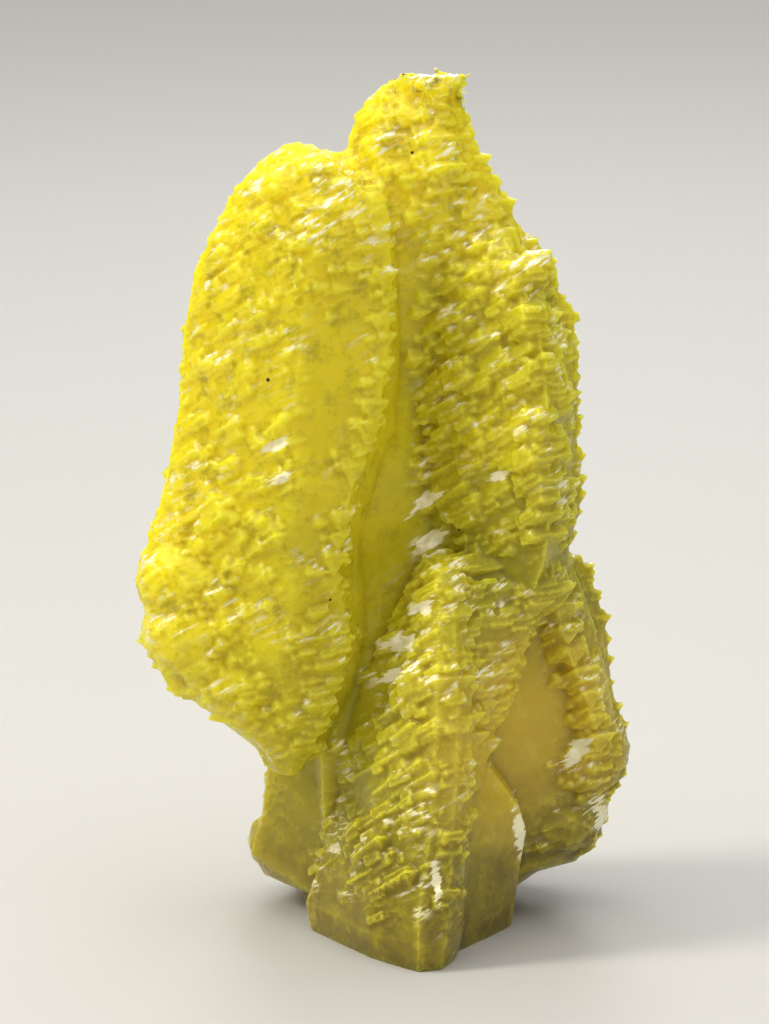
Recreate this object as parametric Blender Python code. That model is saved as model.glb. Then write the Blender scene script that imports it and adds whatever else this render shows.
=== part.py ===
"""Native sulfur crystal: one cluster of parallel, stepped crystals on a flat cut base.

Smooth-faced masses give the forms. Crystallites, all four-sided bipyramids in one common
orientation, grow out of their faces in rows and make the ledges, rims and toothed edges.
Lengths in the tables are millimetres; the mesh itself is in metres. +Z is up.
"""

import math
import random

import bmesh
import bpy
from mathutils import Matrix, Vector

NAME = "sulfur_crystal"
MM = 0.001

# Driving dimensions (mm, degrees)
BASE_CUT = 0.0
GROUND_SIZE = (120.0, 120.0, 40.0)
LEAN_BACK = -32.0
ROLL = -18.0
TURN = -4.0
WAIST = 0.86
SEED = 5

# Natural spread of the crystallites, as shares of spacing, pitch, radius and steepness
SIDE_SPREAD = 0.28
ROW_SHIFT = 0.25
HEIGHT_SPREAD = 0.24
SIZE_SPREAD = 0.20
STAND_SPREAD = 0.45
STEEP_SPREAD = 0.15
ROUND_SHARE = 0.6
TURN_SPREAD = 5.0
LONGEST_ROW = 8.0

# Flat-faced masses: (height, corners counter-clockwise from above as (x, y)), bottom first
LEFT_BLADE = [
    # corners: outer edge, outer front, ridge, toothed edge, back right, back left
    (15.4, [(-11.4, -3.0), (-10.6, -4.4), (-9.8, -4.8), (-9.0, -4.4), (-8.8, -2.2), (-10.8, -1.8)]),
    (17.4, [(-12.8, -2.6), (-11.6, -5.0), (-9.6, -5.8), (-8.0, -5.0), (-6.0, -0.6), (-11.8, 0.0)]),
    (20.4, [(-16.8, -2.0), (-14.0, -5.2), (-10.6, -6.6), (-6.8, -5.4), (-4.0, 1.0), (-14.4, 2.0)]),
    (23.2, [(-20.8, -1.6), (-16.2, -5.2), (-10.0, -7.0), (-5.8, -5.6), (-2.0, 3.0), (-17.4, 3.0)]),
    (27.0, [(-22.6, -1.2), (-17.4, -5.6), (-10.8, -7.6), (-4.6, -5.4), (0.0, 5.4), (-19.0, 5.2)]),
    (31.0, [(-22.4, -1.0), (-16.6, -5.6), (-9.6, -7.4), (-4.9, -5.2), (0.0, 6.0), (-19.4, 6.0)]),
    (33.4, [(-23.0, -0.8), (-16.4, -5.0), (-9.4, -8.0), (-5.6, -6.4), (0.0, 6.4), (-19.6, 6.4)]),
    (38.0, [(-21.4, -0.4), (-15.8, -5.0), (-9.8, -7.6), (-5.3, -6.2), (1.0, 6.8), (-18.6, 6.8)]),
    (43.0, [(-20.3, -0.2), (-14.4, -4.8), (-8.8, -7.6), (-3.9, -6.0), (2.0, 7.2), (-17.8, 7.2)]),
    (48.0, [(-19.4, 0.0), (-14.8, -4.2), (-9.4, -7.0), (-2.0, -5.6), (2.0, 7.4), (-17.2, 7.4)]),
    (54.0, [(-19.0, 0.0), (-13.8, -4.4), (-8.6, -7.0), (-1.1, -5.0), (2.0, 7.4), (-16.6, 7.4)]),
    (60.0, [(-18.0, 0.0), (-13.4, -4.0), (-8.2, -6.4), (-0.8, -4.4), (2.0, 7.4), (-15.6, 7.0)]),
    (63.4, [(-16.4, 0.0), (-12.2, -3.8), (-7.4, -6.0), (-0.9, -4.0), (1.6, 5.6), (-14.0, 5.0)]),
    (66.6, [(-14.8, 0.0), (-11.2, -3.4), (-6.6, -5.0), (-1.2, -3.2), (1.0, 5.0), (-12.4, 4.6)]),
    (68.8, [(-13.2, 0.2), (-10.6, -2.8), (-7.0, -3.8), (-4.4, -2.6), (-3.8, 3.0), (-11.0, 3.6)]),
    (70.9, [(-10.7, 0.4), (-9.4, -1.4), (-8.4, -1.8), (-7.4, -1.2), (-7.4, 1.4), (-9.4, 2.0)]),
]
RIGHT_COLUMN = [
    # corners: valley, front, ridge, outer edge, back right, back left
    (27.0, [(6.0, 0.6), (6.8, -2.0), (7.8, -2.4), (8.4, -1.0), (8.4, 4.0), (5.0, 5.0)]),
    (31.0, [(4.0, 1.2), (6.8, -2.0), (11.4, -3.6), (13.2, 0.0), (12.0, 8.0), (3.0, 9.0)]),
    (35.0, [(2.2, 1.8), (6.8, -2.2), (12.6, -4.8), (15.0, 0.8), (12.8, 10.0), (2.0, 10.0)]),
    (39.0, [(1.6, 2.2), (6.6, -2.4), (13.0, -5.8), (15.9, 0.6), (13.0, 10.6), (2.0, 10.6)]),
    (44.0, [(1.1, 2.4), (6.4, -2.5), (13.0, -6.2), (15.5, 0.2), (12.6, 10.8), (1.0, 10.8)]),
    (50.0, [(0.8, 2.2), (6.0, -2.4), (12.8, -6.2), (15.5, 0.0), (12.2, 10.4), (1.0, 10.4)]),
    (55.0, [(0.7, 1.8), (5.6, -2.2), (12.2, -5.6), (14.7, 0.0), (11.6, 9.6), (1.0, 9.6)]),
    (59.0, [(1.2, 1.2), (5.2, -2.4), (10.9, -4.4), (12.9, 0.4), (10.4, 8.6), (1.4, 8.6)]),
    (62.4, [(3.0, 1.0), (5.8, -1.2), (9.6, -2.4), (11.4, 1.2), (8.6, 6.6), (3.0, 7.0)]),
    (64.8, [(5.2, 1.4), (6.2, 0.4), (8.2, -0.2), (9.7, 1.8), (7.4, 4.6), (5.2, 5.0)]),
]
SPIRE = [
    # corners: left, front left, front right, right, back right, back left
    (44.0, [(-3.0, 1.6), (-1.0, 0.8), (2.2, 1.6), (4.0, 3.0), (3.0, 6.0), (-2.0, 7.0)]),
    (53.0, [(-4.0, 1.2), (-2.0, -1.4), (2.4, 0.2), (6.0, 2.4), (6.0, 7.0), (-3.0, 7.6)]),
    (60.0, [(-6.0, 1.4), (-2.0, -2.6), (3.4, -1.2), (9.4, 1.6), (8.0, 7.0), (-4.0, 8.0)]),
    (65.0, [(-5.4, 1.6), (-2.0, -2.4), (4.2, -1.8), (9.9, 1.6), (7.6, 6.6), (-3.4, 7.0)]),
    (68.8, [(-4.8, 2.0), (-2.2, -1.4), (3.8, -1.4), (7.7, 2.0), (6.0, 5.8), (-2.8, 6.0)]),
    (71.6, [(-4.5, 2.4), (-2.2, -0.4), (3.0, -0.4), (5.6, 2.6), (4.8, 5.2), (-2.2, 5.4)]),
    (73.6, [(-3.6, 2.8), (-1.4, 0.6), (3.0, 0.6), (5.6, 2.8), (4.4, 4.8), (-1.6, 5.0)]),
    (75.6, [(-1.8, 3.2), (-0.2, 1.4), (3.2, 1.6), (5.7, 3.2), (4.2, 4.6), (-0.4, 4.6)]),
    (77.0, [(-0.8, 3.4), (0.6, 2.4), (2.6, 2.8), (4.2, 3.4), (2.8, 4.2), (0.4, 4.2)]),
]
CENTRE_COLUMN = [
    # corners: left edge, front left, front, right front, right edge, back right, back left
    (-2.0, [(-7.6, -1.0), (-2.0, -9.2), (1.6, -12.8), (3.4, -12.2),
        (4.4, -9.6), (7.0, 0.0), (-4.0, 6.0)]),
    (2.6, [(-8.4, -1.2), (-3.0, -9.6), (1.6, -13.7), (4.0, -12.9),
        (5.3, -10.2), (7.0, 0.0), (-4.0, 6.0)]),
    (5.0, [(-7.6, -1.3), (-2.8, -9.2), (1.6, -13.2), (4.3, -12.3),
        (5.4, -10.0), (7.0, 0.0), (-4.0, 6.0)]),
    (8.0, [(-6.7, -1.4), (-2.6, -8.2), (2.0, -12.0), (4.4, -11.8),
        (5.6, -9.8), (7.0, 0.0), (-3.0, 5.0)]),
    (12.5, [(-5.4, -1.5), (-1.8, -7.4), (2.6, -11.3), (4.6, -11.4),
        (6.0, -9.3), (7.0, 0.0), (-2.0, 5.0)]),
    (18.0, [(-4.8, -1.6), (-1.0, -6.8), (3.0, -10.6), (5.0, -10.6),
        (6.4, -8.6), (7.0, 0.0), (-1.0, 4.0)]),
    (24.0, [(-3.0, -1.8), (0.4, -6.0), (3.2, -9.6), (5.0, -9.6), (6.2, -7.6), (7.0, 0.0), (0.0, 4.0)]),
    (30.0, [(0.0, -2.0), (1.5, -5.0), (3.4, -8.0), (4.8, -7.9), (6.0, -6.4), (6.6, 0.0), (1.0, 4.0)]),
    (34.6, [(2.0, -1.4), (2.4, -3.4), (3.2, -5.2), (4.2, -5.4), (5.0, -4.6), (5.4, 0.0), (2.2, 3.0)]),
]
LOWER_RIGHT = [
    # corners: inner edge, outer ridge, outer edge, back right, back left, inside
    (-2.0, [(7.0, 4.0), (8.4, 8.0), (8.4, 10.0), (7.6, 13.0), (2.0, 14.6), (2.0, 5.0)]),
    (1.6, [(8.4, 3.0), (9.8, 8.0), (9.8, 10.0), (9.0, 13.0), (2.0, 14.8), (2.0, 4.0)]),
    (3.2, [(10.4, 1.6), (12.4, 6.0), (12.6, 9.4), (11.0, 13.0), (2.0, 15.0), (2.0, 2.0)]),
    (4.6, [(10.8, 0.9), (15.8, 4.6), (16.6, 8.0), (13.6, 13.0), (2.0, 15.0), (2.0, 2.0)]),
    (7.0, [(10.4, 0.0), (17.4, 3.4), (18.2, 7.0), (15.6, 12.6), (2.0, 15.0), (2.0, 1.0)]),
    (10.0, [(9.0, -0.8), (17.8, 2.6), (18.8, 5.2), (16.2, 12.4), (2.0, 15.0), (2.0, 0.0)]),
    (14.0, [(7.4, -1.4), (18.8, 2.0), (20.5, 4.4), (17.4, 12.0), (3.0, 14.6), (2.0, 0.0)]),
    (16.6, [(6.8, -1.6), (18.6, 1.6), (20.3, 4.2), (17.4, 11.6), (4.0, 14.2), (3.0, 0.0)]),
    (21.0, [(8.4, -1.4), (17.6, 1.0), (18.9, 3.8), (16.4, 11.0), (5.0, 13.4), (4.0, 1.0)]),
    (27.6, [(11.0, -1.0), (15.6, 0.1), (18.2, 3.2), (15.2, 9.8), (6.0, 11.6), (6.0, 2.0)]),
    (31.4, [(12.4, -0.6), (14.4, -0.3), (17.0, 2.6), (14.4, 8.4), (8.0, 9.4), (8.0, 2.0)]),
    (33.6, [(12.8, -0.4), (14.0, -0.2), (15.8, 2.2), (13.6, 7.4), (9.0, 8.0), (9.0, 2.0)]),
]
LOW_BLOCK = [
    # corners: front, right, back right, back left
    (-2.0, [(4.0, -8.8), (9.6, 0.2), (9.8, 4.0), (2.0, 4.0)]),
    (1.2, [(4.2, -9.0), (10.1, -0.3), (10.2, 4.0), (2.0, 4.0)]),
    (5.6, [(4.6, -8.8), (10.6, -1.6), (10.6, 4.0), (2.0, 4.0)]),
    (9.6, [(5.0, -8.2), (11.2, -2.4), (11.0, 3.0), (2.0, 4.0)]),
    (12.0, [(5.4, -7.6), (10.5, -2.8), (10.4, 2.0), (2.0, 4.0)]),
    (16.0, [(5.8, -6.0), (7.8, -3.8), (8.0, 1.0), (3.0, 3.0)]),
]
LEFT_FOOT = [
    # corners: outer front, front, back right, back, back left
    (-2.0, [(-7.4, 8.2), (-7.4, -0.6), (0.0, 8.0), (-3.0, 14.0), (-7.2, 13.4)]),
    (0.9, [(-8.8, 8.0), (-7.6, -0.6), (0.0, 9.0), (-4.0, 14.4), (-8.6, 13.0)]),
    (2.8, [(-12.2, 6.4), (-7.4, -0.4), (0.0, 10.0), (-5.0, 14.4), (-11.4, 12.4)]),
    (5.2, [(-13.4, 5.6), (-7.0, -0.6), (0.0, 10.0), (-5.0, 14.2), (-12.4, 12.0)]),
    (8.8, [(-12.4, 4.8), (-6.6, -0.8), (0.0, 10.0), (-5.0, 13.8), (-11.6, 11.4)]),
    (14.0, [(-11.8, 3.6), (-6.0, -1.0), (0.0, 10.0), (-5.0, 13.0), (-11.0, 10.6)]),
    (24.0, [(-11.4, 2.0), (-6.0, -1.4), (0.0, 10.0), (-5.0, 12.0), (-11.0, 9.6)]),
]
STEP_STRIP = [
    # corners: front left, front right, back right, back left
    (14.5, [(5.8, -8.4), (7.2, -5.0), (8.0, 0.0), (4.0, 0.0)]),
    (18.5, [(6.0, -8.0), (8.0, -3.9), (9.0, 1.0), (4.0, 0.0)]),
    (24.0, [(5.8, -7.2), (10.1, -3.7), (11.0, 1.0), (4.0, 1.0)]),
    (29.0, [(5.6, -6.2), (11.8, -3.3), (12.4, 2.0), (5.0, 2.0)]),
    (32.4, [(5.0, -4.8), (13.0, -3.0), (13.4, 2.0), (5.0, 3.0)]),
    (36.0, [(5.8, -1.8), (12.6, -4.0), (13.4, 2.0), (6.0, 3.0)]),
]
OUTER_RIM = [
    # corners: inner foot, crest, outer foot, inside
    (10.0, [(15.0, 2.6), (16.6, 2.8), (17.6, 3.6), (15.0, 5.0)]),
    (14.0, [(16.2, 1.4), (18.0, 0.9), (19.6, 3.4), (15.6, 5.0)]),
    (18.0, [(15.6, 0.8), (17.4, -0.2), (19.3, 2.8), (15.0, 4.0)]),
    (22.0, [(14.6, 0.2), (16.8, -0.9), (18.6, 2.0), (14.0, 3.0)]),
    (25.4, [(13.8, 0.0), (15.2, -1.4), (17.8, 1.6), (13.0, 2.0)]),
    (29.0, [(12.6, -0.6), (14.4, -1.8), (16.9, 1.2), (12.0, 1.6)]),
    (33.0, [(11.4, -1.6), (13.6, -2.6), (15.4, 1.0), (11.0, 1.6)]),
    (36.4, [(11.0, -2.0), (13.0, -3.2), (14.6, 0.8), (10.6, 1.6)]),
]
HEART = [
    # corners: front left, valley, back right, back ridge, back, back left
    (-2.0, [(-6.0, 0.0), (6.0, 1.0), (8.4, 10.6), (4.6, 14.6), (-2.4, 15.0), (-7.0, 11.6)]),
    (6.0, [(-6.6, -1.0), (6.0, 0.6), (9.6, 11.2), (4.8, 15.6), (-3.0, 15.4), (-9.0, 11.8)]),
    (16.0, [(-7.0, -2.0), (5.4, 0.0), (10.8, 11.4), (3.6, 15.4), (-3.6, 14.4), (-11.0, 11.2)]),
    (27.0, [(-7.2, -2.8), (4.0, 0.2), (11.0, 10.8), (3.8, 14.2), (-4.4, 13.0), (-13.2, 9.8)]),
    (38.0, [(-6.0, -3.2), (2.4, 1.2), (10.4, 10.0), (3.0, 13.4), (-4.2, 11.8), (-14.4, 8.6)]),
    (49.0, [(-4.4, -2.8), (1.8, 1.2), (9.4, 9.4), (1.8, 12.2), (-4.6, 10.6), (-13.6, 7.6)]),
    (58.0, [(-3.4, -2.2), (1.8, 0.2), (7.6, 8.2), (1.0, 10.4), (-4.4, 9.2), (-10.4, 6.6)]),
    (64.0, [(-2.8, -1.4), (2.4, -0.2), (5.4, 7.0), (0.6, 8.8), (-3.6, 7.8), (-6.6, 5.2)]),
    (69.0, [(-1.8, 1.0), (2.2, 0.8), (3.6, 5.2), (0.8, 6.4), (-2.0, 6.0), (-3.4, 4.4)]),
]

# Ledge rows: (name, mass, first corner, last corner, low, high, row pitch, spacing along the
#              row, radius, steepness, rise along the row, how far they stand out, end margin)
LEDGES = [
    ("left_low", LEFT_BLADE, 0, 2, 21.0, 48.0, 2.6, 3.6, 3.2, 0.66, 0.52, 0.80, 0.08),
    ("left_high", LEFT_BLADE, 0, 2, 48.5, 69.0, 2.8, 3.8, 3.0, 0.70, 0.52, 0.55, 0.10),
    ("right_front", RIGHT_COLUMN, 0, 2, 29.0, 63.5, 2.6, 3.6, 3.3, 0.62, 0.52, 0.85, 0.06),
    ("right_side", RIGHT_COLUMN, 2, 3, 31.0, 62.0, 3.6, 3.8, 2.8, 0.62, 0.10, 0.55, 0.12),
    ("spire_front", SPIRE, 0, 3, 62.0, 76.0, 2.5, 3.4, 2.8, 0.64, 0.42, 0.65, 0.10),
    ("centre_front", CENTRE_COLUMN, 0, 2, 5.5, 34.0, 2.5, 3.6, 3.2, 0.62, 0.52, 0.85, 0.06),
    ("centre_side", CENTRE_COLUMN, 2, 4, 4.0, 34.0, 3.0, 3.4, 2.1, 0.66, 0.20, 0.45, 0.08),
    ("strip", STEP_STRIP, 0, 1, 19.0, 33.0, 2.4, 2.6, 1.8, 0.66, 0.30, 0.40, 0.10),
    ("outer_left", LEFT_BLADE, 5, 6, 26.0, 64.0, 5.0, 5.0, 3.8, 0.60, 0.16, 0.55, 0.20),
    ("back_left", LEFT_BLADE, 4, 5, 26.0, 68.0, 5.4, 6.4, 5.0, 0.52, 0.16, 0.90, 0.30),
    ("back_right", RIGHT_COLUMN, 3, 4, 33.0, 62.0, 4.8, 5.4, 4.4, 0.54, 0.16, 0.80, 0.22),
    ("back_spire", SPIRE, 3, 6, 64.0, 75.0, 3.6, 4.6, 3.2, 0.56, 0.16, 0.60, 0.20),
    ("back_lower", LOWER_RIGHT, 2, 3, 8.0, 31.0, 4.6, 5.0, 4.0, 0.54, 0.16, 0.60, 0.24),
    ("back_centre", HEART, 2, 5, 8.0, 66.0, 5.6, 6.6, 5.6, 0.52, 0.16, 0.90, 0.08),
]

# Toothed edges: (name, mass, corner, low, high, pitch, radius, steepness, how far out)
TEETH = [
    ("blade_edge", LEFT_BLADE, 3, 20.0, 62.0, 1.9, 1.9, 0.74, 0.50),
    ("outer_right", RIGHT_COLUMN, 3, 32.0, 62.0, 1.8, 2.4, 0.74, 0.60),
    ("blade_outer", LEFT_BLADE, 0, 36.0, 56.0, 2.4, 2.2, 0.70, 0.40),
    ("spire_right", SPIRE, 3, 62.0, 75.0, 1.9, 2.2, 0.74, 0.60),
    ("strip_edge", STEP_STRIP, 1, 18.0, 33.0, 2.0, 1.9, 0.74, 0.45),
    ("rim_edge", OUTER_RIM, 1, 13.0, 33.0, 2.1, 2.0, 0.74, 0.50),
    ("lower_outer", LOWER_RIGHT, 2, 17.0, 33.0, 2.0, 2.4, 0.74, 0.50),
]

# Rounded lumps: (x, y, z, radius, how flat)
LUMPS = [
    (-18.8, -1.2, 32.6, 4.7, 0.88),
    (-18.0, -2.0, 28.0, 5.0, 0.86),
    (-14.4, -3.8, 23.8, 3.6, 0.90),
    (16.2, 4.2, 15.0, 4.5, 0.92),
    (13.8, 5.0, 9.0, 4.7, 0.86),
    (-9.7, 7.6, 5.6, 4.1, 0.80),
]


def natural(rng, spread):
    """A factor about one, differing by up to the spread."""
    return rng.uniform(1.0 - spread, 1.0 + spread)


def orientation(rng):
    """Rotation shared by the crystallites, with a few degrees of natural spread."""
    wobble = [math.radians(rng.uniform(-TURN_SPREAD, TURN_SPREAD)) for _ in range(3)]
    return (
        Matrix.Rotation(math.radians(ROLL) + wobble[0], 4, "Y")
        @ Matrix.Rotation(math.radians(LEAN_BACK) + wobble[1], 4, "X")
        @ Matrix.Rotation(math.radians(TURN) + wobble[2], 4, "Z")
    )


def corner_at(mass, i, z):
    """Point of corner line i of a mass at a height."""
    i %= len(mass[0][1])
    for (z0, low), (z1, high) in zip(mass, mass[1:]):
        if z <= z1:
            t = max(0.0, (z - z0) / (z1 - z0))
            x, y = Vector(low[i]).lerp(Vector(high[i]), t)
            return Vector((x, y, z))
    x, y = mass[-1][1][i]
    return Vector((x, y, z))


def middle_at(mass, z):
    count = len(mass[0][1])
    return sum((corner_at(mass, i, z) for i in range(count)), Vector()) / count


def new_object(name, bm, collection):
    bmesh.ops.recalc_face_normals(bm, faces=bm.faces[:])
    mesh = bpy.data.meshes.new(name)
    bm.to_mesh(mesh)
    bm.free()
    obj = bpy.data.objects.new(name, mesh)
    collection.objects.link(obj)
    return obj


def add_crystallite(bm, point, away, stand, radius, steep, rng):
    """One bipyramid, sunk in at a point until it stands out of the face by only this much.

    It is a sphere of four segments and two rings, scaled and turned.
    """
    turn = orientation(rng)
    lengths = (radius * natural(rng, STEEP_SPREAD), radius * WAIST, radius * steep)
    reach = max(abs(away.dot(turn.col[i].xyz)) * lengths[i] for i in range(3))
    place = Matrix.Translation((point + away * (stand - reach)) * MM)
    size = Matrix.Diagonal([length * MM for length in lengths] + [1.0])
    bmesh.ops.create_uvsphere(bm, u_segments=4, v_segments=2, radius=1.0, matrix=place @ turn @ size)


def outward(mass, point):
    """Level direction from the middle of a mass to a point on it."""
    away = point - middle_at(mass, point.z)
    away.z = 0.0
    return away.normalized()


def face_normal(mass, i, z):
    """Level direction out of the face between corner lines i and i + 1."""
    side = corner_at(mass, i + 1, z) - corner_at(mass, i, z)
    return Vector((side.y, -side.x, 0.0)).normalized()


def ledge_rows(name, mass, first, last, low, high, pitch, spacing, radius, steep, rise, out, margin,
               collection, seed):
    """Rows of crystallites across the faces between two corner lines of a mass."""
    rng = random.Random(SEED * 1000 + seed)
    bm = bmesh.new()
    z = low - max(0.0, rise) * LONGEST_ROW
    row = 0
    while z < high:
        span = 0.0
        here = max(z, low)
        for i in range(first, last):
            span += (corner_at(mass, i + 1, here) - corner_at(mass, i, here)).length
        count = max(2, int(round(span / spacing)))
        for k in range(count):
            shift = ROW_SHIFT if row % 2 else -ROW_SHIFT
            t = (k + 0.5 + rng.uniform(-SIDE_SPREAD, SIDE_SPREAD) + shift) / count
            t = min(max(t, margin), 1.0 - margin)
            height = z + rise * span * t + rng.uniform(-HEIGHT_SPREAD, HEIGHT_SPREAD) * pitch
            if not low <= height <= high:
                continue
            reach = t * (last - first)
            i = first + min(int(reach), last - first - 1)
            f = reach - (i - first)
            point = corner_at(mass, i, height).lerp(corner_at(mass, i + 1, height), f)
            r = radius * natural(rng, SIZE_SPREAD)
            stand = out * natural(rng, STAND_SPREAD)
            away = (face_normal(mass, i, height) + outward(mass, point) * ROUND_SHARE).normalized()
            add_crystallite(bm, point, away, stand, r, steep * natural(rng, STEEP_SPREAD), rng)
        z += pitch
        row += 1
    return new_object(name, bm, collection)


def toothed_edge(name, mass, corner, low, high, pitch, radius, steep, out, collection, seed):
    """Small crystallites one above another along one corner line of a mass."""
    rng = random.Random(SEED * 2000 + seed)
    bm = bmesh.new()
    z = low
    while z < high:
        point = corner_at(mass, corner, z)
        r = radius * natural(rng, SIZE_SPREAD)
        stand = out * natural(rng, STAND_SPREAD)
        add_crystallite(bm, point, outward(mass, point), stand, r, steep, rng)
        z += pitch * natural(rng, STEEP_SPREAD)
    return new_object(name, bm, collection)


def lump(name, x, y, z, radius, flat, collection):
    """A rounded, unstepped growth: a faceted ball pressed a little flat."""
    bm = bmesh.new()
    turned = Matrix.Rotation(x + z, 4, "Z") @ Matrix.Rotation(y + z, 4, "X")
    place = Matrix.Translation(Vector((x, y, z)) * MM)
    size = Matrix.Diagonal((radius * MM, radius * MM, radius * flat * MM, 1.0))
    bmesh.ops.create_icosphere(bm, subdivisions=2, radius=1.0, matrix=place @ size @ turned)
    return new_object(name, bm, collection)


def smooth_mass(name, mass, collection):
    """A flat-faced mass lofted through its unlike sections."""
    bm = bmesh.new()
    rings = [[bm.verts.new(Vector((x, y, z)) * MM) for x, y in ring] for z, ring in mass]
    n = len(rings[0])
    for low, high in zip(rings, rings[1:]):
        for i in range(n):
            j = (i + 1) % n
            bm.faces.new((low[i], low[j], high[j], high[i]))
    bm.faces.new(list(reversed(rings[0])))
    bm.faces.new(rings[-1])
    bmesh.ops.triangulate(bm, faces=bm.faces[:])
    return new_object(name, bm, collection)


def clear_start():
    for obj in list(bpy.data.objects):
        bpy.data.objects.remove(obj, do_unlink=True)


def make_collection(name, hidden=False):
    collection = bpy.data.collections.new(name)
    bpy.context.scene.collection.children.link(collection)
    collection.hide_render = hidden
    return collection


def sulfur():
    material = bpy.data.materials.new("native_sulfur")
    material.use_nodes = True
    shader = material.node_tree.nodes["Principled BSDF"]
    shader.inputs["Base Color"].default_value = (0.62, 0.50, 0.03, 1.0)
    shader.inputs["Roughness"].default_value = 0.35
    shader.inputs["Metallic"].default_value = 0.0
    return material


def add_boolean(body, other, operation):
    step = body.modifiers.new(operation.lower() + "_" + other.name, "BOOLEAN")
    step.operation = operation
    step.solver = "EXACT"
    step.use_self = operation == "UNION"
    step.object = other
    bpy.ops.object.modifier_apply(modifier=step.name)


def fill_pockets(body):
    """The crystal is solid: pockets closed in between crystallites are filled."""
    bm = bmesh.new()
    bm.from_mesh(body.data)
    left = set(bm.verts)
    shells = []
    while left:
        stack = [left.pop()]
        shell = list(stack)
        while stack:
            for edge in stack.pop().link_edges:
                for vert in edge.verts:
                    if vert in left:
                        left.remove(vert)
                        stack.append(vert)
                        shell.append(vert)
        shells.append(shell)
    shells.sort(key=len)
    for shell in shells[:-1]:
        bmesh.ops.delete(bm, geom=shell, context="VERTS")
    bm.to_mesh(body.data)
    bm.free()


def build():
    clear_start()
    part = make_collection(NAME)
    growth = make_collection("growth", True)
    cutters = make_collection("cutters", True)

    body = smooth_mass(NAME, HEART, part)
    body.data.materials.append(sulfur())
    bpy.context.view_layer.objects.active = body
    body.select_set(True)
    masses = [
        ("left_blade", LEFT_BLADE),
        ("right_column", RIGHT_COLUMN),
        ("spire", SPIRE),
        ("centre_column", CENTRE_COLUMN),
        ("lower_right", LOWER_RIGHT),
        ("low_block", LOW_BLOCK),
        ("left_foot", LEFT_FOOT),
        ("step_strip", STEP_STRIP),
        ("outer_rim", OUTER_RIM),
    ]
    for name, mass in masses:
        smooth_mass(name, mass, growth)
    for seed, row in enumerate(LEDGES):
        ledge_rows(*row, growth, seed)
    for seed, row in enumerate(TEETH):
        toothed_edge(*row, growth, seed)
    for i, row in enumerate(LUMPS):
        lump("lump_%d" % i, *row, growth)

    bm = bmesh.new()
    bmesh.ops.create_cube(bm, size=1.0)
    bmesh.ops.scale(bm, verts=bm.verts[:], vec=Vector(GROUND_SIZE) * MM)
    middle = BASE_CUT - GROUND_SIZE[2] / 2
    bmesh.ops.translate(bm, verts=bm.verts[:], vec=(0.0, 0.0, middle * MM))
    ground = new_object("ground", bm, cutters)

    for obj in list(growth.objects) + [ground]:
        obj.hide_render = True
        obj.display_type = "WIRE"
    for obj in list(growth.objects):
        add_boolean(body, obj, "UNION")
    add_boolean(body, ground, "DIFFERENCE")
    fill_pockets(body)
    return body


build()
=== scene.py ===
"""Native sulfur crystal: the looks of the stepped, milky yellow cluster on its cut base."""
import math
import random

import bmesh
import bpy
import numpy as np
from mathutils import Euler, Matrix, Vector
from mathutils.kdtree import KDTree


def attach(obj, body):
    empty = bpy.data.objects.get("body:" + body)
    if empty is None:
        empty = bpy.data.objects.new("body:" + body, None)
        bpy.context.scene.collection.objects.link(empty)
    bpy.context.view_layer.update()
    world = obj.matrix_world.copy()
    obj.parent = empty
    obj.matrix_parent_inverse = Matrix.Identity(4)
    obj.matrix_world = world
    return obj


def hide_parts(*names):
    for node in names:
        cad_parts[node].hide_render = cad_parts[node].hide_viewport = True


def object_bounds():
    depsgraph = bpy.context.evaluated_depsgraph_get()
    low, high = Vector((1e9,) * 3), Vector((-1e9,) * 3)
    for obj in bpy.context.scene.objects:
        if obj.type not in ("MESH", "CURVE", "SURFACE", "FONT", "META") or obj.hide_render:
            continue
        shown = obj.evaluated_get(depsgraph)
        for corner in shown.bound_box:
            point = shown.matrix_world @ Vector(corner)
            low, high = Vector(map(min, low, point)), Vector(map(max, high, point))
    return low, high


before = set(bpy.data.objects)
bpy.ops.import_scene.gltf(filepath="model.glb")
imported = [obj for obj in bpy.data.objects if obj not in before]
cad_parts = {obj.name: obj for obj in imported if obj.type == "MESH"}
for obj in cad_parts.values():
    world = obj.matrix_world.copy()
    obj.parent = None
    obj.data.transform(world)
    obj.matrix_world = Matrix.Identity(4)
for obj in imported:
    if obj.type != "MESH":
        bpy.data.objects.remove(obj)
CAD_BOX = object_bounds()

MM = 0.001
NODE = "sulfur_crystal"
SEED = 21

# Common growth direction of every crystallite, degrees
LEAN_BACK = -32.0
ROLL = -18.0
TURN = -4.0

# Shape of a crystallite: length, width and height of its half, and how far its facets may lean
CRYSTALLITE = (1.0, 0.86, 0.62)
LEAN = math.cos(math.radians(16.0))

# Small crystallites on the front and on the back, their sizes in millimetres, how much longer
# and flatter some are, and how many degrees they stray from the growth direction
SMALL_ONES = 2700
BACK_ONES = 1100
SMALLEST = 0.9
LARGEST = 2.2
LENGTH_SPREAD = (1.0, 1.5)
HEIGHT_SPREAD = (0.7, 1.1)
WOBBLE = 4.0

# How far they stand out of the mean surface and stray along it, and the room they leave
# inside the solid's box, millimetres
STANDS_OUT = (0.10, 0.55)
MOST_OUT = 0.75
EDGE_ROOM = 0.25
STRAY = 1.5
MEAN_VOXEL = 0.7
MEAN_SMOOTHING = 5

# Where they grow: from edges sharper than these degrees, every so many millimetres,
# clear of the cut base, and along ridges this near a ledge
SHARP_EDGE = math.radians(20.0)
RIDGE_EDGE = math.radians(8.0)
EDGE_STEP = 0.4
CLEAR_OF_BASE = 0.4
RIDGE_REACH = 1.6

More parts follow.
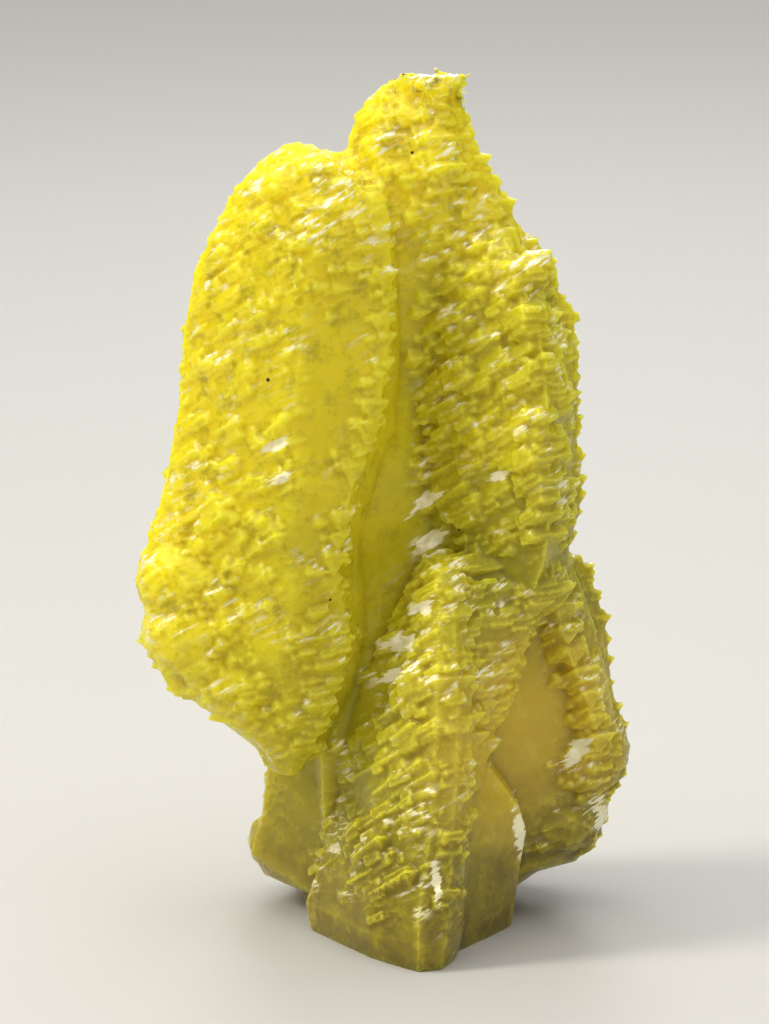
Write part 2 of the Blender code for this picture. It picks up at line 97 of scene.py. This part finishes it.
# The fused skin, its fine steps and etching and how far from a ledge they reach, and the
# worn crest, millimetres
VOXEL = 0.16
REACH = 2.0
BASE_FADE = 1.2
STEP_PITCH = 1.1
STEP_DEPTH = 0.05
ETCH_SIZE = 1.5
ETCH_DEPTH = 0.06
CREST_HEIGHT = 73.0
CREST_FADE = 2.0
WEAR_SIZE = 3.0
WEAR = 1.5
TRIANGLES = 190000
SOFT_EDGE = math.radians(48.0)

# Bend of the skin, in radians, that makes a full rim or a full crease
RIM_BEND = 0.42
CREASE_BEND = 0.30

# Parts of the crystal as boxes: lowest and highest corner, millimetres
# these are rough or ledged all over
LUMPS = [
    ((-24.0, -8.0, 21.0), (-13.5, 4.0, 37.5)),
    ((17.2, -3.0, 6.0), (22.0, 8.0, 18.5)),
    ((-16.0, -16.0, 58.0), (-1.0, 4.0, 72.0)),
    ((-8.0, -10.0, 70.0), (8.0, 12.0, 78.0)),
    ((8.0, -16.0, 37.0), (20.0, 6.0, 66.0)),
    ((-12.0, -16.0, 17.0), (-6.0, 2.0, 28.0)),
]
# the back, all but its foot, is ledged throughout
BACK = ((-24.0, 3.0, 9.0), (23.0, 18.0, 77.0))
# the blade's toothed edge grows only fine ones, close by: their share of the full size
BLADE_EDGE = ((-4.0, -18.0, 30.0), (2.2, 2.0, 62.0))
FINE = 0.45
# across the right column's ridge the ledges stand further out
RIDGE = ((10.8, -18.0, 36.0), (14.8, 0.0, 66.0))
FURTHER = 0.6

# The rendered picture's width and height, pixels
PICTURE = (769, 1024)

# Painted glints, white patches painted into the base colour: the pixel of the rendered picture where each
# shows, the degrees it rises to the right, and half its sizes in mm
PAINTED_GLINTS = {
    "hollow_foot": ((521, 838), 98.0, (3.6, 3.0, 0.70)),
    "hollow_side": ((578, 750), 55.0, (2.4, 3.0, 1.00)),
    "right_lobe": ((603, 816), 105.0, (3.2, 3.5, 1.10)),
    "front_foot": ((437, 885), 95.0, (2.2, 3.0, 0.50)),
    "column_middle": ((404, 640), 35.0, (2.3, 3.0, 0.75)),
    "column_top": ((422, 606), 35.0, (2.4, 3.0, 0.85)),
    "column_low": ((396, 674), 35.0, (2.0, 3.0, 0.60)),
    "gully_low": ((430, 541), 38.0, (2.2, 3.0, 0.75)),
    "gully_high": ((428, 499), 38.0, (2.2, 3.0, 0.70)),
    "right_wall": ((500, 475), 30.0, (1.9, 3.0, 0.50)),
    "blade_high": ((275, 445), 30.0, (2.0, 3.0, 0.50)),
    "blade_low": ((282, 478), 28.0, (2.0, 3.0, 0.50)),
}

# Camera, millimetres and degrees
CAMERA_HEIGHT_ANGLE = 15.0
CAMERA_DISTANCE = 700.0
FRAME_HEIGHT = 89.7
AIM = (-1.36, -3.5, 39.2)


# ---------------------------------------------------------------- small helpers
def deselect_all():
    if bpy.context.object and bpy.context.object.mode != "OBJECT":
        bpy.ops.object.mode_set(mode="OBJECT")
    bpy.ops.object.select_all(action="DESELECT")


def make_active(obj):
    deselect_all()
    obj.select_set(True)
    bpy.context.view_layer.objects.active = obj


def apply_modifier(obj, kind, **settings):
    make_active(obj)
    step = obj.modifiers.new(kind.lower(), kind)
    for key, value in settings.items():
        setattr(step, key, value)
    bpy.ops.object.modifier_apply(modifier=step.name)


def vertex_places(mesh):
    co = np.empty(len(mesh.vertices) * 3, np.float32)
    mesh.vertices.foreach_get("co", co)
    return co.reshape(-1, 3)


def linear(code):
    """An sRGB hex colour as linear values."""
    parts = [int(code[i:i + 2], 16) / 255 for i in (1, 3, 5)]
    return tuple(c / 12.92 if c <= 0.04045 else ((c + 0.055) / 1.055) ** 2.4 for c in parts) + (1.0,)


# ---------------------------------------------------------------- the crystal
def growth_turn(rng, spread):
    wobble = [math.radians(rng.uniform(-spread, spread)) for _ in range(3)]
    return (
        Matrix.Rotation(math.radians(ROLL) + wobble[0], 4, "Y")
        @ Matrix.Rotation(math.radians(LEAN_BACK) + wobble[1], 4, "X")
        @ Matrix.Rotation(math.radians(TURN) + wobble[2], 4, "Z")
    )


def grown_body():
    """A merged copy of the solid: the visible crystal starts from its true forms."""
    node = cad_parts[NODE]
    mesh = node.data.copy()
    mesh.transform(node.matrix_world)
    body = bpy.data.objects.new("grown_crystal", mesh)
    bpy.context.scene.collection.objects.link(body)
    bm = bmesh.new()
    bm.from_mesh(mesh)
    bmesh.ops.remove_doubles(bm, verts=bm.verts[:], dist=0.002 * MM)
    bm.to_mesh(mesh)
    bm.free()
    return body


def tree_of(places):
    tree = KDTree(len(places))
    for i, place in enumerate(places):
        tree.insert(place, i)
    tree.balance()
    return tree


def inside(place, low, high):
    return all(a <= v / MM <= b for a, v, b in zip(low, place, high))


def ledge_places(body, mean):
    """Places all over the lumps and every little way along the edges of the crystallites,
    whose facets all face alike."""
    turn = growth_turn(random.Random(0), 0.0).to_3x3()
    signs = [(x, y, z) for x in (-1, 1) for y in (-1, 1) for z in (-1, 1)]
    facets = [turn @ Vector([s / c for s, c in zip(sign, CRYSTALLITE)]).normalized() for sign in signs]
    bm = bmesh.new()
    bm.from_mesh(body.data)
    bm.normal_update()
    grown = {face for face in bm.faces if max(face.normal.dot(facet) for facet in facets) > LEAN}
    places = []
    ridges = []
    for edge in bm.edges:
        a, b = edge.verts[0].co, edge.verts[1].co
        if min(a.z, b.z) < CLEAR_OF_BASE * MM:
            continue
        bend = edge.calc_face_angle(0.0)
        count = max(1, int((b - a).length / (EDGE_STEP * MM)))
        along = [a.lerp(b, (i + 0.5) / count) for i in range(count)]
        if bend > SHARP_EDGE and all(face in grown for face in edge.link_faces):
            places += along
        elif edge.is_convex and bend > RIDGE_EDGE:
            ridges += along
    near = tree_of(places)
    places += [place for place in ridges if near.find(place)[2] < RIDGE_REACH * MM]
    bm.free()
    places += [v.co.copy() for v in mean.data.vertices if any(inside(v.co, *box) for box in LUMPS)]
    return places


def model_crystallite():
    """One small bipyramid."""
    deselect_all()
    bpy.ops.mesh.primitive_uv_sphere_add(segments=4, ring_count=2, radius=1.0)
    crystallite = bpy.context.object
    crystallite.name = "small_crystallite"
    bpy.ops.object.mode_set(mode="EDIT")
    bpy.ops.mesh.select_all(action="SELECT")
    bpy.ops.transform.resize(value=CRYSTALLITE)
    bpy.ops.object.mode_set(mode="OBJECT")
    return crystallite


def mean_surface(body):
    """The crystal as it would be without its ledges: what the small crystallites stand out of."""
    mean = body.copy()
    mean.data = body.data.copy()
    bpy.context.scene.collection.objects.link(mean)
    apply_modifier(mean, "REMESH", mode="VOXEL", voxel_size=MEAN_VOXEL * MM, adaptivity=0.0)
    apply_modifier(mean, "SMOOTH", factor=1.0, iterations=MEAN_SMOOTHING)
    return mean


def grow_small_crystallites(body, mean, places, number):
    """Copies the small bipyramid over the ledges, mostly sunk in, and joins the copies."""
    rng = random.Random(SEED)
    pattern = model_crystallite()
    grown = bmesh.new()
    grown.from_mesh(body.data)
    count = 0
    while count < number:
        start = rng.choice(places)
        share = FINE if inside(start, *BLADE_EDGE) else 1.0
        stray = Vector([rng.uniform(-STRAY, STRAY) * share * MM for _ in range(3)])
        _, place, out, _ = mean.closest_point_on_mesh(start + stray)
        r = rng.uniform(SMALLEST, LARGEST) * share * MM
        size = (r * rng.uniform(*LENGTH_SPREAD), r, r * rng.uniform(*HEIGHT_SPREAD))
        turn = growth_turn(rng, WOBBLE)
        reach = max(abs(out.dot(turn.col[i].xyz)) * size[i] * CRYSTALLITE[i] for i in range(3))
        further = FURTHER if inside(place, *RIDGE) else 0.0
        centre = place + out * ((rng.uniform(*STANDS_OUT) + further) * MM - reach)
        copy = pattern.data.copy()
        copy.transform(Matrix.Translation(centre) @ turn @ Matrix.Diagonal((*size, 1.0)))
        if all(fits(vert.co, mean, MOST_OUT + further) for vert in copy.vertices):
            grown.from_mesh(copy)
            count += 1
        bpy.data.meshes.remove(copy)
    grown.to_mesh(body.data)
    grown.free()
    bpy.data.objects.remove(pattern, do_unlink=True)


def fits(corner, mean, most):
    """Whether a corner is inside the solid's box and stands out no more than so many millimetres."""
    room = EDGE_ROOM * MM
    if any(not a + room <= v <= b - room for a, v, b in zip(CAD_BOX[0], corner, CAD_BOX[1])):
        return False
    _, place, out, _ = mean.closest_point_on_mesh(corner)
    return (corner - place).dot(out) <= most * MM


def stepped_share(mesh, places):
    """How stepped each vertex is: 1 on the ledges, falling to 0 at the steps' reach."""
    tree = tree_of(places)
    near = np.array([max(0.0, 1.0 - tree.find(v.co)[2] / (REACH * MM)) for v in mesh.vertices])
    return np.clip(near * 2.0, 0.0, 1.0)


def set_group(obj, name, weights):
    group = obj.vertex_groups.new(name=name)
    steps = np.clip((np.asarray(weights) * 20).round().astype(int), 0, 20)
    for level in range(21):
        chosen = np.nonzero(steps == level)[0].tolist()
        if chosen:
            group.add(chosen, level / 20.0, "REPLACE")


def pattern_texture(name, kind, **settings):
    texture = bpy.data.textures.new(name, kind)
    for key, value in settings.items():
        setattr(texture, key, value)
    return texture


def step_guide():
    """An empty whose bands lie across the growth direction, a step pitch apart."""
    guide = bpy.data.objects.new("step_guide", None)
    bpy.context.scene.collection.objects.link(guide)
    bands = Vector((1.0, 1.0, 1.0))
    across = growth_turn(random.Random(0), 0.0).to_3x3() @ Vector((0.0, 0.0, 1.0))
    guide.rotation_euler = bands.rotation_difference(across).to_euler()
    # the band pattern repeats every 2 pi / 10 along x + y + z
    size = STEP_PITCH * MM * math.sqrt(3.0) / (2.0 * math.pi / 10.0)
    guide.scale = (size, size, size)
    bpy.context.view_layer.update()
    return guide


def fuse_and_etch(body, places):
    """Fuses everything to one skin, then gives the ledges their fine broken steps."""
    apply_modifier(body, "REMESH", mode="VOXEL", voxel_size=VOXEL * MM, adaptivity=0.0)
    height = vertex_places(body.data)[:, 2] / MM
    set_group(body, "stepped", stepped_share(body.data, places) * np.clip(height / BASE_FADE, 0.0, 1.0))
    guide = step_guide()
    steps = pattern_texture("fine_steps", "WOOD", wood_type="BANDNOISE", noise_basis_2="SAW",
                            noise_scale=0.45, turbulence=7.0)
    etched = pattern_texture("etched", "CLOUDS", noise_scale=ETCH_SIZE * MM, noise_depth=2)
    apply_modifier(body, "DISPLACE", texture=steps, strength=-STEP_DEPTH * MM, mid_level=0.3,
                   vertex_group="stepped", texture_coords="OBJECT", texture_coords_object=guide)
    apply_modifier(body, "DISPLACE", texture=etched, strength=ETCH_DEPTH * MM, mid_level=0.5,
                   vertex_group="stepped", texture_coords="LOCAL")
    height = vertex_places(body.data)[:, 2] / MM
    set_group(body, "worn", np.clip((height - CREST_HEIGHT) / CREST_FADE, 0.0, 1.0))
    broken = pattern_texture("broken_crest", "CLOUDS", noise_scale=WEAR_SIZE * MM, noise_depth=1)
    apply_modifier(body, "DISPLACE", texture=broken, strength=WEAR * MM, mid_level=0.80,
                   vertex_group="worn", texture_coords="LOCAL")
    count = sum(len(p.vertices) - 2 for p in body.data.polygons)
    if count > TRIANGLES:
        apply_modifier(body, "DECIMATE", ratio=TRIANGLES / count)
    body.vertex_groups.clear()
    bpy.data.objects.remove(guide, do_unlink=True)


def keep_in_box(body):
    """The cut face stays flat on the floor, and nothing reaches past the solid's box."""
    low, high = CAD_BOX
    co = np.clip(vertex_places(body.data), np.array(low), np.array(high))
    body.data.vertices.foreach_set("co", co.ravel())
    body.data.update()


def mark(mesh, name, values):
    attribute = mesh.attributes.new(name, "FLOAT", "POINT")
    attribute.data.foreach_set("value", np.asarray(values, np.float32))


def mark_edges(body):
    """Attributes for the material: narrow outward rims, creases between ledges, and ledge tops; the material
    paints highlights on the rims and tops and shade in the creases.
    """
    bm = bmesh.new()
    bm.from_mesh(body.data)
    bm.normal_update()
    bend = np.zeros(len(bm.verts))
    for vert in bm.verts:
        angles = [edge.calc_face_angle_signed(0.0) for edge in vert.link_edges]
        bend[vert.index] = sum(angles) / max(1, len(angles))
    bm.free()
    mark(body.data, "rim", np.clip(bend / RIM_BEND, 0.0, 1.0))
    upward = np.array([vert.normal.z for vert in body.data.vertices])
    mark(body.data, "ledge_top", np.clip((upward + 0.05) / 0.40, 0.0, 1.0))
    mark(body.data, "crease", np.clip(-bend / CREASE_BEND, 0.0, 1.0))


def make_crystal():
    body = grown_body()
    mean = mean_surface(body)
    places = ledge_places(body, mean)
    grow_small_crystallites(body, mean, places, SMALL_ONES)
    back = [v.co.copy() for v in mean.data.vertices if inside(v.co, *BACK)]
    grow_small_crystallites(body, mean, back, BACK_ONES)
    bpy.data.objects.remove(mean, do_unlink=True)
    places += back
    fuse_and_etch(body, places)
    keep_in_box(body)
    mark_edges(body)
    mark(body.data, "stepped", stepped_share(body.data, places))
    body.name = "stepped_crystal"
    body.data.name = "stepped_crystal"
    make_active(body)
    bpy.ops.object.shade_smooth_by_angle(angle=SOFT_EDGE)
    return body


def view_axes():
    """The direction from the aim to the camera, and the camera's upward direction."""
    angle = math.radians(CAMERA_HEIGHT_ANGLE)
    away = Vector((0.0, -math.cos(angle), math.sin(angle)))
    up = Vector((0.0, math.sin(angle), math.cos(angle)))
    return away, up


def place_behind(pixel, body):
    """The place on the body that shows at a pixel of the rendered picture."""
    away, up = view_axes()
    eye = Vector(AIM) + away * CAMERA_DISTANCE
    pixel_size = FRAME_HEIGHT / PICTURE[1]
    across = (pixel[0] - PICTURE[0] / 2) * pixel_size
    above = (PICTURE[1] / 2 - pixel[1]) * pixel_size
    target = Vector(AIM) + Vector((across, 0.0, 0.0)) + up * above
    hit, place, _, _ = body.ray_cast(eye * MM, (target - eye).normalized())
    if not hit:
        raise ValueError(f"no crystal shows at pixel {pixel}")
    return place


# ---------------------------------------------------------------- the material
def add_node(tree, kind, setup=None, values=None, links=None):
    """Adds a node with its properties, its input values and what is linked to its inputs."""
    node = tree.nodes.new(kind)
    for key, value in (setup or {}).items():
        setattr(node, key, value)
    for key, value in (values or {}).items():
        node.inputs[key].default_value = value
    for key, source in (links or {}).items():
        tree.links.new(source, node.inputs[key])
    return node


def per_mm(size_mm):
    """Scale of a pattern whose features are this many millimetres apart."""
    return 1.0 / (size_mm * MM)


def sulfur(body):
    """Native sulfur: resinous, milky and translucent, bright yellow to olive, with painted light: a painted
    glow at the upper left and in the right hollow, painted highlights on rims and ledge tops, and painted
    shade in creases.
    """
    material = bpy.data.materials.new("native_sulfur")
    material.use_nodes = True
    tree = material.node_tree
    shader = tree.nodes["Principled BSDF"]
    place = add_node(tree, "ShaderNodeTexCoord").outputs["Object"]
    rim = add_node(tree, "ShaderNodeAttribute", {"attribute_name": "rim"}).outputs["Fac"]
    crease = add_node(tree, "ShaderNodeAttribute", {"attribute_name": "crease"}).outputs["Fac"]
    stepped = add_node(tree, "ShaderNodeAttribute", {"attribute_name": "stepped"}).outputs["Fac"]
    top = add_node(tree, "ShaderNodeAttribute", {"attribute_name": "ledge_top"}).outputs["Fac"]

    # brighter yellow toward the upper left, olive toward the lower right: partly the crystal's deeper colour
    # where it is thick, partly painted light, a glow painted where light falls from the upper left
    thin_and_lit = add_node(tree, "ShaderNodeVectorMath", {"operation": "DOT_PRODUCT"}, {1: (-17.0, 0.0, 10.0)},
                    {0: place})
    cloud = add_node(tree, "ShaderNodeTexNoise", None,
                     {"Scale": per_mm(8.0), "Detail": 3.0, "Roughness": 0.6}, {"Vector": place})
    depth_and_glow = add_node(tree, "ShaderNodeMath", {"operation": "MULTIPLY_ADD"}, {1: 0.7},
                     {0: cloud.outputs["Fac"], 2: thin_and_lit.outputs["Value"]})
    ramp = add_node(tree, "ShaderNodeValToRGB", None, None, {0: depth_and_glow.outputs[0]})
    stops = ramp.color_ramp.elements
    stops[0].position = 0.22
    stops[0].color = linear("#857e2c")
    stops[1].position = 0.95
    stops[1].color = linear("#ecda1c")
    stops.new(0.60).color = linear("#bfb424")

    # darker towards the bottom, up to 19 mm above the floor
    parts = add_node(tree, "ShaderNodeSeparateXYZ", None, None, {0: place})
    foot = add_node(tree, "ShaderNodeMapRange", None,
                    {"From Min": 0.001, "From Max": 0.019, "To Min": 0.85, "To Max": 0.0},
                    {"Value": parts.outputs["Z"]})
    darker_low = add_node(tree, "ShaderNodeMix", {"data_type": "RGBA"}, {7: linear("#6e5a1c")},
                    {0: foot.outputs[0], 6: ramp.outputs[0]})

    # deeper veils of a couple of millimetres
    veils = add_node(tree, "ShaderNodeTexNoise", None,
                     {"Scale": per_mm(2.0), "Detail": 5.0, "Roughness": 0.7}, {"Vector": place})
    veiled = add_node(tree, "ShaderNodeMapRange", None,
                      {"From Min": 0.49, "From Max": 0.66, "To Min": 0.0, "To Max": 0.55},
                      {"Value": veils.outputs["Fac"]})
    inner = add_node(tree, "ShaderNodeMix", {"data_type": "RGBA"}, {7: linear("#a39418")},
                     {0: veiled.outputs[0], 6: darker_low.outputs[2]})

    # painted light: the hollow face at the right is painted brighter, a painted glow where it lies in shade
    hollow = add_node(tree, "ShaderNodeVectorMath", {"operation": "DISTANCE"}, {1: (0.013, -0.006, 0.019)},
                      {0: place})
    painted_glow = add_node(tree, "ShaderNodeMapRange", None,
                       {"From Min": 0.005, "From Max": 0.014, "To Min": 0.85, "To Max": 0.0},
                       {"Value": hollow.outputs["Value"]})
    with_painted_glow = add_node(tree, "ShaderNodeMix", {"data_type": "RGBA"}, {7: linear("#e0c044")},
                    {0: painted_glow.outputs[0], 6: inner.outputs[2]})

    # milky mottling of about a millimetre
    mottle = add_node(tree, "ShaderNodeTexNoise", None,
                      {"Scale": per_mm(1.2), "Detail": 4.0, "Roughness": 0.65}, {"Vector": place})
    milky = add_node(tree, "ShaderNodeMapRange", None,
                     {"From Min": 0.52, "From Max": 0.78, "To Min": 0.0, "To Max": 0.38},
                     {"Value": mottle.outputs["Fac"]})
    pale = add_node(tree, "ShaderNodeMix", {"data_type": "RGBA"}, {7: linear("#efe04a")},
                    {0: milky.outputs[0], 6: with_painted_glow.outputs[2]})

    # fine streaks along the steps, which rise to the right
    along = add_node(tree, "ShaderNodeMapping", {"vector_type": "TEXTURE"},
                     {"Rotation": Euler((0.0, math.radians(-30.0), 0.0)), "Scale": (3.4, 2.0, 0.50)},
                     {"Vector": place})
    streaks = add_node(tree, "ShaderNodeTexNoise", None,
                       {"Scale": per_mm(0.9), "Detail": 4.0, "Roughness": 0.65}, {"Vector": along.outputs[0]})

    # painted light: outward rims are painted brighter, a painted highlight, and creases between ledges are
    # painted browner, painted shade
    painted_rim_light = add_node(tree, "ShaderNodeMath", {"operation": "MULTIPLY"}, {1: 0.55}, {0: rim})
    with_rim_highlight = add_node(tree, "ShaderNodeMix", {"data_type": "RGBA"}, {7: linear("#f6ea50")},
                    {0: painted_rim_light.outputs[0], 6: pale.outputs[2]})
    sunk = add_node(tree, "ShaderNodeMath", {"operation": "MULTIPLY"}, {1: 0.22}, {0: crease})
    shaded = add_node(tree, "ShaderNodeMix", {"data_type": "RGBA"}, {7: linear("#8f8020")},
                      {0: sunk.outputs[0], 6: with_rim_highlight.outputs[2]})

    # here and there the ledge tops are freshly broken and glassy; where they face up they are painted white in
    # streaks, painted glints
    broken = add_node(tree, "ShaderNodeMapRange", None, {"From Min": 0.53, "From Max": 0.59},
                      {"Value": streaks.outputs["Fac"]})
    patch = add_node(tree, "ShaderNodeTexNoise", None, {"Scale": per_mm(4.0), "Detail": 2.0},
                     {"Vector": place})
    # more of them, painted glints with them, in a belt across the right column
    flat = add_node(tree, "ShaderNodeMapping", None, {"Scale": (1.0, 0.0, 0.17)}, {"Vector": place})
    belt = add_node(tree, "ShaderNodeVectorMath", {"operation": "DISTANCE"}, {1: (0.0050, 0.0, 0.0076)},
                    {0: flat.outputs[0]})
    more = add_node(tree, "ShaderNodeMapRange", None,
                    {"From Min": 0.0015, "From Max": 0.0040, "To Min": 0.10, "To Max": 0.0},
                    {"Value": belt.outputs["Value"]})
    chance = add_node(tree, "ShaderNodeMath", {"operation": "ADD"}, None,
                      {0: patch.outputs["Fac"], 1: more.outputs[0]})
    fresh = add_node(tree, "ShaderNodeMapRange", None, {"From Min": 0.49, "From Max": 0.57},
                     {"Value": chance.outputs[0]})
    ledge = add_node(tree, "ShaderNodeMath", {"operation": "MULTIPLY"}, None,
                     {0: stepped, 1: fresh.outputs[0]})
    glassy = add_node(tree, "ShaderNodeMath", {"operation": "MULTIPLY"}, None,
                      {0: ledge.outputs[0], 1: broken.outputs[0]})
    painted_glint = add_node(tree, "ShaderNodeMath", {"operation": "MULTIPLY"}, None, {0: glassy.outputs[0], 1: top})
    painted_white = painted_glint.outputs[0]
    # painted glints: the white patches listed at the top, painted into the base colour where glints show
    for pixel, rise, half in PAINTED_GLINTS.values():
        glint_space = add_node(tree, "ShaderNodeMapping", {"vector_type": "TEXTURE"},
                        {"Location": place_behind(pixel, body), "Scale": Vector(half) * MM,
                         "Rotation": Euler((0.0, -math.radians(rise), 0.0))}, {"Vector": place})
        away = add_node(tree, "ShaderNodeVectorMath", {"operation": "LENGTH"}, None, {0: glint_space.outputs[0]})
        ragged = add_node(tree, "ShaderNodeMath", {"operation": "MULTIPLY_ADD"}, {1: -3.0},
                          {0: streaks.outputs["Fac"], 2: away.outputs["Value"]})
        patchy = add_node(tree, "ShaderNodeMapRange", None,
                          {"From Min": -0.85, "From Max": -0.65, "To Min": 1.0, "To Max": 0.0},
                          {"Value": ragged.outputs[0]})
        both = add_node(tree, "ShaderNodeMath", {"operation": "MAXIMUM"}, None,
                        {0: painted_white, 1: patchy.outputs[0]})
        painted_white = both.outputs[0]
    with_painted_glints = add_node(tree, "ShaderNodeMix", {"data_type": "RGBA"}, {7: linear("#fff6cc")},
                       {0: painted_white, 6: shaded.outputs[2]})
    # the painted glints scatter less light below the surface, so they stay white
    clear = add_node(tree, "ShaderNodeMath", {"operation": "MULTIPLY_ADD"}, {1: -0.85, 2: 0.90}, {0: painted_white})
    tree.links.new(clear.outputs[0], shader.inputs["Subsurface Weight"])
    tree.links.new(glassy.outputs[0], shader.inputs["Coat Weight"])

    # dark specks a tenth of a millimetre or two across
    cells = add_node(tree, "ShaderNodeTexVoronoi", None, {"Scale": per_mm(5.5)}, {"Vector": place})
    speck = add_node(tree, "ShaderNodeMath", {"operation": "LESS_THAN"}, {1: 0.032},
                     {0: cells.outputs["Distance"]})
    colour = add_node(tree, "ShaderNodeMix", {"data_type": "RGBA"}, {7: linear("#3a3014")},
                      {0: speck.outputs[0], 6: with_painted_glints.outputs[2]})
    tree.links.new(colour.outputs[2], shader.inputs["Base Color"])

    # resinous gloss: keen on the broken ledges, duller on the smooth faces
    patches = add_node(tree, "ShaderNodeTexNoise", None, {"Scale": per_mm(2.4), "Detail": 2.0},
                       {"Vector": place})
    dull = add_node(tree, "ShaderNodeMapRange", None,
                    {"From Min": 0.35, "From Max": 0.65, "To Min": 0.16, "To Max": 0.40},
                    {"Value": patches.outputs["Fac"]})
    gloss = add_node(tree, "ShaderNodeMath", {"operation": "MULTIPLY_ADD"}, {1: -0.08},
                     {0: stepped, 2: dull.outputs[0]})
    tree.links.new(gloss.outputs[0], shader.inputs["Roughness"])

    # the streaks and a grain break the glints up
    keen = add_node(tree, "ShaderNodeMath", {"operation": "MULTIPLY_ADD"}, {1: 0.30, 2: 0.06}, {0: stepped})
    coarse = add_node(tree, "ShaderNodeBump", None, {"Distance": 0.40 * MM},
                      {"Strength": keen.outputs[0], "Height": streaks.outputs["Fac"]})
    grain = add_node(tree, "ShaderNodeTexNoise", None,
                     {"Scale": per_mm(0.35), "Detail": 2.0, "Roughness": 0.5}, {"Vector": place})
    fine = add_node(tree, "ShaderNodeBump", None, {"Distance": 0.16 * MM},
                    {"Strength": keen.outputs[0], "Height": grain.outputs["Fac"], "Normal": coarse.outputs[0]})
    tree.links.new(fine.outputs[0], shader.inputs["Normal"])

    shader.inputs["IOR"].default_value = 1.90
    shader.inputs["Specular IOR Level"].default_value = 0.12
    shader.inputs["Coat Roughness"].default_value = 0.07
    shader.inputs["Subsurface Radius"].default_value = (1.0, 0.85, 0.15)
    shader.inputs["Subsurface Scale"].default_value = 0.005
    return material


# ---------------------------------------------------------------- the studio
def area_light(name, place, aim, power, wide, tall, colour="#ffffff", spread=70.0):
    lamp = bpy.data.lights.new(name, "AREA")
    lamp.shape = "RECTANGLE"
    lamp.energy = power
    lamp.size = wide
    lamp.size_y = tall
    lamp.spread = math.radians(spread)
    lamp.color = linear(colour)[:3]
    obj = bpy.data.objects.new(name, lamp)
    obj.location = place
    obj.rotation_euler = (Vector(aim) - Vector(place)).to_track_quat("-Z", "Y").to_euler()
    bpy.context.scene.collection.objects.link(obj)


def studio():
    deselect_all()
    bpy.ops.mesh.primitive_circle_add(vertices=96, radius=4.0, fill_type="NGON")
    floor = bpy.context.object
    floor.name = "studio_floor"
    paper = bpy.data.materials.new("matt_paper")
    paper.use_nodes = True
    matt = paper.node_tree.nodes["Principled BSDF"]
    matt.inputs["Base Color"].default_value = linear("#bcbab5")
    matt.inputs["Roughness"].default_value = 0.85
    floor.data.materials.append(paper)

    world = bpy.data.worlds.new("studio_air")
    world.use_nodes = True
    world.node_tree.nodes["Background"].inputs[0].default_value = linear("#e4e3df")
    world.node_tree.nodes["Background"].inputs[1].default_value = 0.19
    bpy.context.scene.world = world
    bpy.context.scene.view_settings.view_transform = "Standard"

    heart = (0.0, 0.0, 0.040)
    area_light("softbox_above", (0.0, 0.05, 1.10), (0.0, 0.05, 0.0), 17.0, 1.60, 1.60, spread=180.0)
    area_light("window_left", (-0.48, -0.10, 0.46), heart, 0.42, 0.14, 0.24, "#fffaf0")
    area_light("lamp_back", (0.03, 0.56, 0.30), heart, 0.22, 0.24, 0.14)
    area_light("card_right", (0.50, -0.45, 0.25), heart, 0.08, 0.40, 0.40)
    area_light("card_front", (0.12, -0.70, 0.22), heart, 0.10, 0.40, 0.40)


def camera():
    away, _ = view_axes()
    lens = bpy.data.cameras.new("camera")
    lens.sensor_width = 36.0
    lens.lens = 36.0 * CAMERA_DISTANCE / FRAME_HEIGHT
    lens.clip_start = 0.01
    lens.clip_end = 50.0
    obj = bpy.data.objects.new("camera", lens)
    obj.location = (Vector(AIM) + away * CAMERA_DISTANCE) * MM
    obj.rotation_euler = (-away).to_track_quat("-Z", "Y").to_euler()
    bpy.context.scene.collection.objects.link(obj)
    bpy.context.scene.camera = obj


crystal = make_crystal()
crystal.data.materials.clear()
crystal.data.materials.append(sulfur(crystal))
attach(crystal, "root")
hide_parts(NODE)
studio()
camera()
